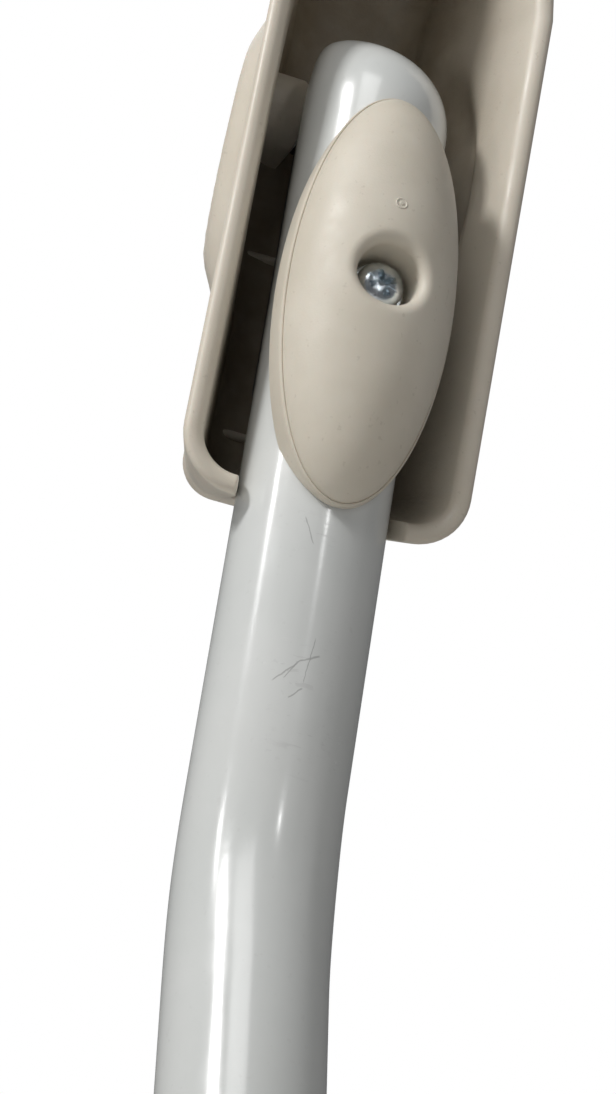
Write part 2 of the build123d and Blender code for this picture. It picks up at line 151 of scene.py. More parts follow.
def newFinish(name, look):
    # two tints in soft clouds, a grain for the surface, and marks from handling
    material = bpy.data.materials.new(name)
    material.use_nodes = True
    tree = material.node_tree
    shader = tree.nodes["Principled BSDF"]
    for key, value in look.get("shader", {}).items():
        shader.inputs[key].default_value = value
    where = addNode(tree, "ShaderNodeTexCoord").outputs["Object"]
    clouds = addNoise(tree, where, look["cloudScale"], 5)
    cloudMask = addRange(tree, clouds, 0.35, 0.68, 0, 1)
    colour = addMix(tree, cloudMask, (*look["tint"], 1), (*look["tint2"], 1))
    specks = addNoise(tree, where, look["speckScale"], 2)
    speckMask = addRange(tree, specks, 0.66, 0.74, 0, look["speckAmount"])
    colour = addMix(tree, speckMask, colour, (*look["speckTint"], 1))
    smudge = addNoise(tree, where, look["cloudScale"] * 2.7, 6, 0.62)
    roughness = addRange(tree, smudge, 0.3, 0.72, *look["rough"])
    grain = addNoise(tree, where, look["grainScale"], 3, 0.6)
    normal = addBump(tree, grain, look["grainStrength"], look["grainDepth"])
    waviness = addNoise(tree, where, look["waveScale"], 2, 0.4)
    normal = addBump(tree, waviness, look["waveStrength"], look["waveDepth"], normal)
    addLink(tree, colour, shader.inputs["Base Color"])
    addLink(tree, roughness, shader.inputs["Roughness"])
    addLink(tree, normal, shader.inputs["Normal"])
    return material, tree, shader, where, colour, roughness, normal


gripPlasticLook = {
    # the dark warm brown is painted shade for the inside of the trough
    "paintedShadeTint": (0.24, 0.195, 0.135),
    "tint": (0.60, 0.545, 0.455), "tint2": (0.655, 0.60, 0.51), "speckTint": (0.34, 0.29, 0.22),
    "cloudScale": 38, "speckScale": 900, "speckAmount": 0.22, "rough": (0.34, 0.52),
    "grainScale": 2600, "grainStrength": 0.22, "grainDepth": 0.00012,
    "waveScale": 90, "waveStrength": 0.10, "waveDepth": 0.0006,
    "shader": {"IOR": 1.49, "Subsurface Weight": 0.05, "Subsurface Scale": 0.002},
}
capPlasticLook = dict(
    gripPlasticLook, tint=(0.585, 0.535, 0.445), tint2=(0.64, 0.59, 0.50), rough=(0.40, 0.56), cloudScale=55)
tubePaintLook = {
    "tint": (0.62, 0.635, 0.62), "tint2": (0.66, 0.67, 0.655), "speckTint": (0.45, 0.45, 0.43),
    "cloudScale": 30, "speckScale": 700, "speckAmount": 0.12, "rough": (0.15, 0.25),
    "grainScale": 520, "grainStrength": 0.10, "grainDepth": 0.00015,
    "waveScale": 120, "waveStrength": 0.05, "waveDepth": 0.0006,
    "shader": {"IOR": 1.5, "Coat Weight": 0.35, "Coat Roughness": 0.12},
}
zincLook = {
    "tint": (0.58, 0.65, 0.70), "tint2": (0.78, 0.82, 0.85), "speckTint": (0.22, 0.26, 0.32),
    "cloudScale": 420, "speckScale": 2400, "speckAmount": 0.5, "rough": (0.08, 0.24),
    "grainScale": 5200, "grainStrength": 0.25, "grainDepth": 0.00008,
    "waveScale": 700, "waveStrength": 0.10, "waveDepth": 0.0002,
    "shader": {"Metallic": 1.0},
}
steelLook = dict(
    zincLook, tint=(0.42, 0.42, 0.42), tint2=(0.55, 0.55, 0.54), speckTint=(0.20, 0.17, 0.14),
    rough=(0.28, 0.48), cloudScale=160)
castingLook = dict(
    steelLook, tint=(0.58, 0.57, 0.545), tint2=(0.66, 0.65, 0.62), rough=(0.34, 0.5),
    cloudScale=60, grainScale=1500, grainStrength=0.35, grainDepth=0.00015, speckAmount=0.25,
    shader={"Metallic": 0.0, "IOR": 1.5, "Coat Weight": 0.2, "Coat Roughness": 0.25})
nylonLook = dict(
    capPlasticLook, tint=(0.72, 0.71, 0.66), tint2=(0.78, 0.77, 0.72), speckTint=(0.5, 0.48, 0.42))
darkNylonLook = dict(
    capPlasticLook, tint=(0.055, 0.055, 0.058), tint2=(0.085, 0.085, 0.088),
    speckTint=(0.16, 0.16, 0.16), rough=(0.42, 0.6))
rubberLook = dict(
    darkNylonLook, tint=(0.03, 0.03, 0.031), tint2=(0.05, 0.05, 0.05), rough=(0.6, 0.8),
    grainScale=1800, grainStrength=0.3)
brassLook = dict(
    zincLook, tint=(0.60, 0.42, 0.16), tint2=(0.70, 0.50, 0.22), speckTint=(0.30, 0.19, 0.07))


def makeGripPlastic():
    material, tree, shader, where, colour = newFinish("gripPlastic", gripPlasticLook)[:5]
    # painted shade: a dark warm brown mixed in where the per-point shade attribute is high, broken up by
    # noise
    paintedShadeDepth = addNode(tree, "ShaderNodeAttribute", attribute_name="paintedShade").outputs["Fac"]
    patchy = addRange(tree, addNoise(tree, where, 70, 5, 0.6), 0.25, 0.7, 0.72, 1.0)
    paintedShadeAmount = addNode(tree, "ShaderNodeMath", operation="MULTIPLY")
    addLink(tree, paintedShadeDepth, paintedShadeAmount.inputs[0])
    addLink(tree, patchy, paintedShadeAmount.inputs[1])
    colour = addMix(tree, paintedShadeAmount.outputs[0], colour, (*gripPlasticLook["paintedShadeTint"], 1))
    addLink(tree, colour, shader.inputs["Base Color"])
    return material


gripPlastic = makeGripPlastic()
capPlastic = newFinish("capPlastic", capPlasticLook)[0]
brightZinc = newFinish("brightZinc", zincLook)[0]
plainSteel = newFinish("plainSteel", steelLook)[0]
coatedCasting = newFinish("coatedCasting", castingLook)[0]
whiteNylon = newFinish("whiteNylon", nylonLook)[0]
carrierNylon = newFinish("carrierNylon", darkNylonLook)[0]
bumperRubber = newFinish("bumperRubber", rubberLook)[0]
insertBrass = newFinish("insertBrass", brassLook)[0]


def addDot(tree, vector, direction):
    dot = addNode(tree, "ShaderNodeVectorMath", operation="DOT_PRODUCT")
    addLink(tree, vector, dot.inputs[0])
    dot.inputs[1].default_value = direction
    return dot.outputs["Value"]


def addMath(tree, operation, a, b=0.0):
    math = addNode(tree, "ShaderNodeMath", operation=operation)
    for socket, value in zip(math.inputs, (a, b)):
        if isinstance(value, bpy.types.NodeSocket):
            tree.links.new(value, socket)
        else:
            socket.default_value = value
    return math.outputs[0]


def addNear(tree, where, centre, reach, core=0.35):
    # 1 near a spot on the object, fading to 0 at its reach; gives the vector from the spot as well
    offset = addNode(tree, "ShaderNodeVectorMath", operation="SUBTRACT")
    addLink(tree, where, offset.inputs[0])
    offset.inputs[1].default_value = centre
    length = addNode(tree, "ShaderNodeVectorMath", operation="LENGTH")
    addLink(tree, offset.outputs[0], length.inputs[0])
    return addRange(tree, length.outputs["Value"], reach * core, reach, 1, 0), offset.outputs[0]


def makeTubePaint():
    material, tree, shader, where, colour, roughness, normal = newFinish("tubePaint", tubePaintLook)
    wobble = addMath(tree, "SUBTRACT", addNoise(tree, where, 700, 2), 0.5)
    for start, stop, width in tubeMarks["hairlines"]:
        first, last = Vector(start) * mm, Vector(stop) * mm
        reach = (last - first).length / 2 + 0.3 * mm
        near, offset = addNear(tree, where, (first + last) / 2, reach, 0.75)
        sideways = (last - first).cross(out).normalized()
        aside = addDot(tree, offset, sideways)
        off = addMath(tree, "ADD", aside, addMath(tree, "MULTIPLY", wobble, 0.5 * mm))
        thin = addRange(tree, addMath(tree, "ABSOLUTE", off), width * 0.3 * mm, width * mm, 1, 0)
        mark = addMath(tree, "MULTIPLY", near, thin)
        colour = addMix(tree, addMath(tree, "MULTIPLY", mark, 0.75), colour, (*tubeMarks["tint"], 1))
        normal = addBump(tree, mark, -0.7, 0.00015, normal)
    # rubbed patches, where the folded grip has dulled the gloss
    for centre, reach, turn in tubeMarks["rubs"]:
        near, offset = addNear(tree, where, Vector(centre) * mm, reach * mm)
        aim = addNode(tree, "ShaderNodeMapping", Rotation=(0, radians(turn), 0), Scale=(0.12, 1, 1))
        addLink(tree, offset, aim.inputs["Vector"])
        lines = addNode(tree, "ShaderNodeTexNoise", Scale=1500, Detail=2.0)
        addLink(tree, aim.outputs["Vector"], lines.inputs["Vector"])
        mark = addMath(tree, "MULTIPLY", near, addRange(tree, lines.outputs["Fac"], 0.60, 0.66, 0, 1))
        colour = addMix(tree, addMath(tree, "MULTIPLY", mark, 0.3), colour, (*tubeMarks["tint"], 1))
        roughness = addMath(tree, "ADD", roughness, addMath(tree, "MULTIPLY", mark, 0.3))
    addLink(tree, colour, shader.inputs["Base Color"])
    addLink(tree, roughness, shader.inputs["Roughness"])
    addLink(tree, normal, shader.inputs["Normal"])
    return material


tubeMarks = {
    # both ends on the tube's surface and the half width, all in mm
    "hairlines": [
        ((-5.2, 52.4, 104.4), (-1.3, 51.7, 108.5), 0.16), ((-1.5, 51.7, 108.3), (1.3, 51.7, 109.7), 0.20),
        ((-2.4, 51.2, 102.2), (-0.7, 51.2, 103.9), 0.17), ((-3.6, 51.8, 105.2), (-2.2, 51.6, 107.6), 0.11),
        ((-0.6, 51.3, 104.8), (0.3, 51.4, 112.5), 0.10), ((-4.2, 54.2, 131.8), (-2.4, 54.0, 127.6), 0.12)],
    # centre, reach and turn of each rubbed patch
    "rubs": [((-1.6, 51.6, 107.0), 7.0, 25), ((-3.2, 53.8, 129.5), 5.0, -55), ((1.5, 50.9, 97.0), 9.0, 10)],
    "tint": (0.36, 0.36, 0.355),
}
tubePaint = makeTubePaint()
print("finishes made")


def loopsToPiece(name, loops, material, joinEnds=False, poles=False):
    count = len(loops[0])
    rows = len(loops)
    verts = [tuple(p) for loop in loops for p in loop]
    faces = []
    for j in range(rows if joinEnds else rows - 1):
        k = (j + 1) % rows
        for i in range(count):
            n = (i + 1) % count
            faces.append((j * count + i, j * count + n, k * count + n, k * count + i))
    if poles:
        faces.append(tuple(range(count))[::-1])
        faces.append(tuple((rows - 1) * count + i for i in range(count)))
    mesh = bpy.data.meshes.new(name)
    mesh.from_pydata(verts, [], faces)
    return finishMesh(name, mesh, material)


def finishMesh(name, mesh, material, sharpOver=38):
    work = bmesh.new()
    work.from_mesh(mesh)
    bmesh.ops.remove_doubles(work, verts=work.verts, dist=1e-6)
    bmesh.ops.dissolve_degenerate(work, edges=work.edges, dist=1e-7)
    bmesh.ops.recalc_face_normals(work, faces=work.faces)
    work.to_mesh(mesh)
    work.free()
    for face in mesh.polygons:
        face.use_smooth = True
    mesh.set_sharp_from_angle(angle=radians(sharpOver))
    mesh.materials.clear()
    mesh.materials.append(material)
    piece = bpy.data.objects.new(name, mesh)
    bpy.context.scene.collection.objects.link(piece)
    return piece


def settle(piece, body, slot, *nodes):
    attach(piece, body)
    if nodes:
        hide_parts(*nodes)
    return piece


def cutWith(piece, cutter):
    modifier = piece.modifiers.new("cut", "BOOLEAN")
    modifier.operation = "DIFFERENCE"
    modifier.solver = "EXACT"
    modifier.object = cutter
    plain = bakedMesh(piece)
    piece.modifiers.remove(modifier)
    piece.data = plain
    bpy.data.objects.remove(cutter)


def bakedMesh(piece):
    depsgraph = bpy.context.evaluated_depsgraph_get()
    return bpy.data.meshes.new_from_object(piece.evaluated_get(depsgraph))


def boxMesh(size, centre, turn):
    work = bmesh.new()
    bmesh.ops.create_cube(work, size=1)
    bmesh.ops.scale(work, vec=size, verts=work.verts)
    mesh = bpy.data.meshes.new("cutter")
    work.to_mesh(mesh)
    work.free()
    mesh.transform(turn)
    mesh.transform(Matrix.Translation(centre))
    cutter = bpy.data.objects.new("cutter", mesh)
    bpy.context.scene.collection.objects.link(cutter)
    return cutter


def standOn(origin, xAxis, zAxis):
    yAxis = zAxis.cross(xAxis)
    turn = Matrix((xAxis, yAxis, zAxis)).transposed().to_4x4()
    return Matrix.Translation(origin) @ turn


def ringAt(centre, lean, radius, squash=0.0):
    face = outAt(lean)
    ring = []
    for i in range(arm["sides"]):
        angle = tau * i / arm["sides"]
        ring.append(centre + across * cos(angle) * radius * (1 + squash)
                    + face * sin(angle) * radius * (1 - squash))
    return ring


def makeArmTube():
    rings = []
    radius, low = arm["radius"], arm["lowerLean"]
    lowAlong = alongAt(low)
    foot = hubCentre + lowAlong * arm["foot"]
    bore = radius - arm["wall"]
    edge, boreEdge = arm["footEdge"], arm["boreEdge"]
    for height, ringRadius in ((arm["openDepth"], bore * 0.02), (arm["openDepth"], bore), (boreEdge, bore)):
        rings.append(ringAt(foot + lowAlong * height, low, ringRadius))
    rings.append(ringAt(foot, low, bore + boreEdge))
    rings.append(ringAt(foot, low, radius - edge))
    run = arm["lowerRun"] - arm["foot"]
    for k in range(14):
        rings.append(ringAt(foot + lowAlong * (edge + (run - edge) * k / 14), low, radius))
    turn = arm["lowerLean"] - arm["upperLean"]
    for k in range(31):
        share = k / 30
        lean = arm["lowerLean"] - turn * share
        squash = arm["flattening"] * sin(pi * share) ** 2
        rings.append(ringAt(bendCentre - outAt(lean) * arm["bendRadius"], lean, radius, squash))
    noseFrom = arm["noseHeight"]
    for k in range(1, 34):
        centre = bendEnd + along * (arm["upperRun"] - noseFrom) * k / 33
        rings.append(ringAt(centre, arm["upperLean"], radius))
    # the nose: shrinking rings that drift back and to one side, and never leave the tube's outline
    core = noseTip - along * noseFrom
    drift = radians(arm["noseSide"])
    towards = -out * cos(drift) - across * sin(drift)
    power = 2 / arm["noseSquareness"]
    steps = 34
    for k in range(1, steps + 1):
        climb = pi / 2 * k / steps
        ringRadius = radius * max(cos(climb), 0.0) ** power
        centre = core + along * noseFrom * sin(climb) ** power
        centre = centre + towards * (radius - ringRadius) * arm["noseDrift"]
        rings.append(ringAt(centre, arm["upperLean"], max(ringRadius, 0.02 * mm)))
    return settle(loopsToPiece("armTube", rings, tubePaint, poles=True), "crank", "white", "arm_tube")


makeArmTube()
print("arm tube made")


cap = {
    "halfWidth": 14.5 * mm, "halfLength": 37 * mm, "edge": 0.5 * mm,
    "rim": 13.7 * mm, "rise": 11 * mm, "skirtFoot": 8.2 * mm,
    "well": 5.25 * mm, "seat": 15.5 * mm, "mouth": 2.4 * mm, "screwHole": 2.25 * mm,
    "bead": 0.28 * mm, "footInset": 0.35 * mm, "sides": 160,
}
onCap = standOn(capCentre, across, out)     # local x across, y up the tube, z out of the tube


def domeHeight(x, y):
    wide, long = cap["halfWidth"] - cap["edge"], cap["halfLength"] - cap["edge"]
    inside = max(1 - (x / wide) ** 2 - (y / long) ** 2, 0)
    return cap["rim"] + cap["rise"] * inside ** 0.56


def underHeight(x):
    clear = arm["radius"] + 0.05 * mm
    return max(cap["skirtFoot"], sqrt(max(clear * clear - x * x, 0)))


def makeOvalCap():
    angles = [tau * i / cap["sides"] for i in range(cap["sides"])]
    edge = cap["edge"]

    def oval(inset):
        return [((cap["halfWidth"] - inset) * cos(a), (cap["halfLength"] - inset) * sin(a)) for a in angles]

    def circle(radius):
        return [(radius * cos(a), radius * sin(a)) for a in angles]

    def between(first, second, share):
        return [(p[0] + (q[0] - p[0]) * share, p[1] + (q[1] - p[1]) * share) for p, q in zip(first, second)]

    loops = []

    def lay(points, height):
        heights = [height(x, y) if callable(height) else height for x, y in points]
        loops.append([onCap @ Vector((*spot, level)) for spot, level in zip(points, heights)])

    hole, foot = circle(cap["screwHole"]), oval(cap["footInset"])
    for k in range(15):
        lay(between(hole, foot, k / 14), lambda x, y: underHeight(x))
    lay(oval(0.05 * mm), lambda x, y: underHeight(x) + 0.3 * mm)
    for share in (0.25, 0.5, 0.75):
        lay(oval(0), lambda x, y: underHeight(x) + (
            cap["rim"] - underHeight(x) - cap["footInset"]) * share)
    lay(oval(0), cap["rim"] - cap["footInset"])
    lay(oval(0.06 * mm), cap["rim"] - 0.05 * mm)
    lay(oval(0.2 * mm), cap["rim"] + cap["bead"] * 0.9)
    lay(oval(0.36 * mm), cap["rim"] + cap["bead"])
    lay(oval(edge), cap["rim"] + cap["bead"] * 0.55)
    mouthCircle = circle(cap["well"] + cap["mouth"])
    domeSteps = 40
    for k in range(1, domeSteps):
        share = 1 - cos(pi / 2 * k / domeSteps)
        lay(between(oval(edge), mouthCircle, share), domeHeight)
    for k in range(13):
        turn = pi / 2 * k / 12
        ring = circle(cap["well"] + cap["mouth"] * (1 - sin(turn)))
        lay(ring, lambda x, y: domeHeight(x, y) - cap["mouth"] * (1 - cos(turn)))
    lip = domeHeight(0, 0) - cap["mouth"]
    for k in range(1, 8):
        lay(circle(cap["well"] - 0.02 * mm * k), lip + (cap["seat"] - lip) * k / 8)
    lay(circle(cap["well"] - 0.3 * mm), cap["seat"])
    lay(circle(cap["screwHole"] + 0.2 * mm), cap["seat"])
    lay(hole, cap["seat"] - 0.2 * mm)
    lay(hole, lambda x, y: underHeight(x) + 0.1 * mm)
    settle(loopsToPiece("ovalCap", loops, capPlastic, joinEnds=True), "crank", "shell", "oval_cap")


def latheMesh(profile, sides=48):
    # profile: (radius, height) from the lower pole to the upper one
    verts, faces = [], []
    angles = [tau * i / sides for i in range(sides)]
    for radius, height in profile:
        verts += [(radius * cos(angle), radius * sin(angle), height) for angle in angles]
    for j in range(len(profile) - 1):
        for i in range(sides):
            n = (i + 1) % sides
            faces.append((j * sides + i, j * sides + n, (j + 1) * sides + n, (j + 1) * sides + i))
    faces.append(tuple(range(sides))[::-1])
    faces.append(tuple((len(profile) - 1) * sides + i for i in range(sides)))
    mesh = bpy.data.meshes.new("lathed")
    mesh.from_pydata(verts, [], faces)
    return mesh


gate = {"above": 12.2 * mm, "right": -0.3 * mm, "radius": 1.05 * mm, "pip": 0.4 * mm, "sink": 0.12 * mm}


def makeGateMark():
    # the small witness ring that moulding leaves on the dome
    x, y = gate["right"], gate["above"]
    height = domeHeight(x, y)
    slope = Vector((domeHeight(x + mm, y) - height, domeHeight(x, y + mm) - height, 0)) / mm
    normal = (onCap.to_3x3() @ Vector((-slope.x, -slope.y, 1))).normalized()
    r, s = gate["radius"], gate["sink"]
    profile = [
        (r * 0.9, -3 * s), (r, -s), (r, 0.2 * s),
        (r * 0.86, 0.9 * s), (r * 0.72, 0.3 * s), (r * 0.6, -0.2 * s),
        (gate["pip"], -0.1 * s), (gate["pip"] * 0.8, 0.9 * s), (gate["pip"] * 0.2, 1.2 * s)]
    mesh = latheMesh(profile)
    mesh.transform(standOn(onCap @ Vector((x, y, height)), across - normal * across.dot(normal), normal))
    settle(finishMesh("capGateMark", mesh, capPlastic), "crank", "shell")


makeOvalCap()
makeGateMark()
print("oval cap made")


def newTree(name, inputs):
    tree = bpy.data.node_groups.new(name, "GeometryNodeTree")
    sockets = {}
    for label, kind in inputs.items():
        sockets[label] = tree.interface.new_socket(name=label, in_out="INPUT", socket_type=kind).identifier
    tree.interface.new_socket(name="Geometry", in_out="OUTPUT", socket_type="NodeSocketGeometry")
    source = tree.nodes.new("NodeGroupInput")
    return tree, sockets, source


def endTree(tree, source, geometry):
    real = tree.nodes.new("GeometryNodeRealizeInstances")
    paint = tree.nodes.new("GeometryNodeSetMaterial")
    done = tree.nodes.new("NodeGroupOutput")
    tree.links.new(geometry, real.inputs["Geometry"])
    tree.links.new(real.outputs["Geometry"], paint.inputs["Geometry"])
    tree.links.new(source.outputs["Material"], paint.inputs["Material"])
    tree.links.new(paint.outputs["Geometry"], done.inputs["Geometry"])


def growPiece(name, tree, sockets, values, material, place):
    holder = bpy.data.objects.new(name + "Source", bpy.data.meshes.new(name + "Source"))
    bpy.context.scene.collection.objects.link(holder)
    modifier = holder.modifiers.new("grow", "NODES")
    modifier.node_group = tree
    for label, value in values.items():
        modifier[sockets[label]] = value
    modifier[sockets["Material"]] = material
    mesh = bakedMesh(holder)
    bpy.data.objects.remove(holder)
    mesh.transform(place)
    return finishMesh(name, mesh, material)


screw = {
    "headRadius": 4.0 * mm, "headHeight": 2.6 * mm, "shank": 1.72 * mm, "length": 36.6 * mm,
    "recess": 2.6 * mm, "recessWidth": 1.25 * mm, "recessDepth": 1.9 * mm, "tick": 0.22 * mm,
    "pitch": 0.7 * mm, "threadDepth": 0.42 * mm, "threadTurns": 14.0, "turn": 24, "washers": 1.6 * mm,
}
screwHeadLow = cap["seat"] + screw["washers"]


def makeCapScrew():
    r, h = screw["headRadius"], screw["headHeight"]
    profile = [(screw["shank"] * 0.6, -screw["length"]), (screw["shank"], -screw["length"] + 0.6 * mm),
               (screw["shank"], -0.3 * mm), (screw["shank"] + 0.3 * mm, 0),
               (r - 0.15 * mm, 0), (r, 0.15 * mm)]
    for k in range(12):
        angle = pi / 2 * k / 11
        profile.append((r * cos(angle) ** 0.62 * 0.995 + 1e-6, h * (0.3 + 0.7 * sin(angle))))
    piece = finishMesh("capScrew", latheMesh([p for p in profile if p[0] > 1e-4], 64), brightZinc)
    for quarter in range(2):
        # a cross with tapering wings, the way a screwdriver's tip fills it
        wing = bmesh.new()
        top, low = screw["recess"], screw["recess"] * 0.42
        wide, thin = screw["recessWidth"] / 2, screw["recessWidth"] * 0.36
        corners = []
        for reach, half, height in ((low, thin, h - screw["recessDepth"]), (top, wide, h + 0.3 * mm)):
            corners += [(sx * reach, sy * half, height) for sx, sy in ((-1, -1), (1, -1), (1, 1), (-1, 1))]
        points = [wing.verts.new(c) for c in corners]
        for face in ((3, 2, 1, 0), (4, 5, 6, 7), (0, 1, 5, 4), (1, 2, 6, 5), (2, 3, 7, 6), (3, 0, 4, 7)):
            wing.faces.new([points[i] for i in face])
        mesh = bpy.data.meshes.new("cutter")
        wing.to_mesh(mesh)
        wing.free()
        mesh.transform(Matrix.Rotation(radians(90 * quarter), 4, "Z"))
        cutter = bpy.data.objects.new("cutter", mesh)
        bpy.context.scene.collection.objects.link(cutter)
        cutWith(piece, cutter)
        tick = boxMesh((2 * screw["recess"] * 1.25, screw["tick"], 0.5 * mm), Vector((0, 0, h - 0.05 * mm)),
                       Matrix.Rotation(radians(45 + 90 * quarter), 4, "Z"))
        cutWith(piece, tick)
    place = standOn(capCentre + out * screwHeadLow, across, out)
    piece.data.transform(place @ Matrix.Rotation(radians(screw["turn"]), 4, "Z"))
    piece = finishMesh("capScrewHead", piece.data.copy(), brightZinc, 30)
    bpy.data.objects.remove(bpy.data.objects["capScrew"])
    piece.name = "capScrew"
    settle(piece, "crank", "zinc", "cap_screw")


def makeScrewThread():
    tree, sockets, source = newTree("screwThread", {
        "Radius": "NodeSocketFloat", "Pitch": "NodeSocketFloat", "Turns": "NodeSocketFloat",
        "Depth": "NodeSocketFloat", "Material": "NodeSocketMaterial"})
    spiral = addNode(tree, "GeometryNodeCurveSpiral", Resolution=20)
    tall = addNode(tree, "ShaderNodeMath", operation="MULTIPLY")
    for a, b in ((source.outputs["Turns"], spiral.inputs["Rotations"]),
                 (source.outputs["Radius"], spiral.inputs["Start Radius"]),
                 (source.outputs["Radius"], spiral.inputs["End Radius"]),
                 (source.outputs["Turns"], tall.inputs[0]),
                 (source.outputs["Pitch"], tall.inputs[1]), (tall.outputs[0], spiral.inputs["Height"])):
        tree.links.new(a, b)
    ridge = addNode(tree, "GeometryNodeCurvePrimitiveCircle", Resolution=5)
    sweep = addNode(tree, "GeometryNodeCurveToMesh")
    sweep.inputs["Fill Caps"].default_value = True
    tree.links.new(source.outputs["Depth"], ridge.inputs["Radius"])
    tree.links.new(spiral.outputs["Curve"], sweep.inputs["Curve"])
    tree.links.new(ridge.outputs["Curve"], sweep.inputs["Profile Curve"])
    endTree(tree, source, sweep.outputs["Mesh"])
    start = capCentre + out * (screwHeadLow - screw["length"] + 0.8 * mm)
    piece = growPiece("capScrewThread", tree, sockets, {
        "Radius": screw["shank"] - 0.12 * mm, "Pitch": screw["pitch"], "Turns": screw["threadTurns"],
        "Depth": screw["threadDepth"] * 0.8}, brightZinc, standOn(start, across, out))
    settle(piece, "crank", "zinc")


makeCapScrew()
makeScrewThread()
print("cap screw made")


grip = {
    "half": 25 * mm, "halfTop": 20.3 * mm, "wall": 3.4 * mm, "below": 81 * mm, "above": 52 * mm,
    "shoulder": 17 * mm, "corner": 10 * mm, "topCorner": 15 * mm, "back": 10 * mm, "lip": 1.62 * mm,
    "lipBeforePin": 32 * mm, "floorBehindPin": 8.8 * mm, "floorRise": 11.5 * mm,
    "draft": 15.5, "crownAbove": 32 * mm, "crownDepth": 22 * mm, "crownSoft": 9 * mm,
    "notch": 13.1 * mm, "swellOut": 4.3 * mm, "swellHalf": (15 * mm, 29 * mm), "swellAhead": 6 * mm,
    "swellBelow": 12.5 * mm, "swellFrom": 9 * mm,
}
# painted shade inside the trough: a point that counts as the trough's middle, and the depths behind the lip
# where the painted shade begins and where it is darkest
paintedShadeFrom = {"behindLip": 12 * mm, "belowPin": 14 * mm, "shadeStart": 2 * mm, "full": 30 * mm}
lug = {
    "inside": 9 * mm, "seat": 4.5 * mm, "thick": 7.7 * mm, "radius": 7 * mm, "soft": 0.5 * mm,
    "hole": 4.05 * mm, "pocket": 5.0 * mm, "intoFloor": 0.3 * mm, "intoWall": 0.55,
}
rib = {"fromEnd": 21 * mm, "spacing": 35 * mm, "length": 24 * mm, "radius": 0.8 * mm, "count": 2}
gripBottom, gripTop = pin.z - grip["below"], pin.z + grip["above"]
lipY = pin.y - grip["lipBeforePin"]


def roundCorner(before, corner, after, radius, steps):
    toFirst, toNext = (before - corner).normalized(), (after - corner).normalized()
    halfAngle = toFirst.angle(toNext) / 2
    reach = radius / tan(halfAngle)
    centre = corner + (toFirst + toNext).normalized() * radius / sin(halfAngle)
    first, last = corner + toFirst * reach - centre, corner + toNext * reach - centre
    start = atan2(first.y, first.x)
    sweepAngle = atan2(first.x * last.y - first.y * last.x, first.dot(last))
    turns = [start + sweepAngle * k / steps for k in range(steps + 1)]
    return [centre + Vector((cos(turn), sin(turn))) * radius for turn in turns]


notchSteps = 14
# half width and dip of the notch's mouth, in mm
mouthFlare = ((13.7, 2.6), (14.15, 0.9), (14.5, 0.2), (14.8, 0.0))


def draftAt(depth):
    return depth * tan(radians(grip["draft"]))


def bottomHalf(depth):
    return grip["half"] - grip["corner"] - draftAt(depth) / 2


def gripColumn(depth, inset):
    # half of the trough's outline at one depth behind the lip, from the bottom to the top, in x and z
    lean = draftAt(depth)
    half, halfTop = grip["half"] - inset - lean, grip["halfTop"] - inset - lean / 2
    low, high = gripBottom + inset + lean, gripTop - inset - lean / 2
    shoulder = Vector((half, pin.z + grip["shoulder"]))
    points = [Vector((bottomHalf(depth) * share, low)) for share in bottomShares]
    cornerRadius, topRadius = grip["corner"] - inset - lean / 2, grip["topCorner"] - inset - lean / 2
    corner = roundCorner(Vector((0, low)), Vector((half, low)), shoulder, cornerRadius, 12)
    topArc = roundCorner(shoulder, Vector((halfTop, high)), Vector((0, high)), topRadius, 16)
    points += corner
    points += [corner[-1].lerp(shoulder, k / 38) for k in range(1, 38)]
    points += [shoulder.lerp(topArc[0], k / 22) for k in range(22)]
    return points + topArc + [topArc[-1].lerp(Vector((0, high)), k / 3) for k in (1, 2, 3)]


# the lip runs level, and dips round the tube at the lower end
tubeDepth = noseTip.y - along.y * (noseTip.z - gripBottom) / along.z - lipY
notchTurns = [pi / 2 * k / notchSteps for k in range(notchSteps + 1)]
notchSpots = [(grip["notch"] * sin(turn), tubeDepth + grip["notch"] * cos(turn)) for turn in notchTurns]
notchSpots += [(x * mm, dip * mm) for x, dip in mouthFlare]
bottomShares = [x / bottomHalf(depth) for x, depth in notchSpots]
halfCount = len(gripColumn(0, 0))
lipDepths = [notchSpots[k][1] if k < len(notchSpots) else 0 for k in range(halfCount)]


def mirrored(half):
    return half + [Vector((-p.x, *p[1:])) for p in half[-2:0:-1]]


def softMin(a, b, soft):
    mix = max(soft - abs(a - b), 0) / soft
    return min(a, b) - mix * mix * soft / 4


def gripBackY(z):
    # outside of the floor: level behind the pivot, rising to the lower end and leaning in at the crown
    level = pin.y + grip["floorBehindPin"] + grip["wall"]
    slope = level - grip["floorRise"] * (pin.z - z) / grip["below"]
    crown = level - (z - pin.z - grip["crownAbove"]) * (
        (level - lipY - grip["crownDepth"]) / (grip["above"] + 2 * mm - grip["crownAbove"]))
    return softMin(softMin(level, slope, 1.2 * mm), crown, grip["crownSoft"])


def swellAt(p, y):
    u = (y - pin.y + grip["swellAhead"]) / grip["swellHalf"][0]
    v = (p.y - pin.z + grip["swellBelow"]) / grip["swellHalf"][1]
    share = min(max((1.04 - sqrt(u * u + v * v)) / 0.42, 0), 1)
    return grip["swellOut"] * share * share * (3 - 2 * share) * (0.86 - 0.14 * v)


def distanceTo(outline, points):
    a = np.array([tuple(p) for p in outline])
    b = np.roll(a, -1, axis=0)
    q = np.array([tuple(p) for p in points])
    edge = b - a
    t = np.clip(((q[:, None] - a) * edge).sum(2) / np.maximum((edge * edge).sum(1), 1e-18), 0, 1)
    near = a + edge * t[..., None]
    return np.sqrt(((q[:, None] - near) ** 2).sum(2)).min(1)


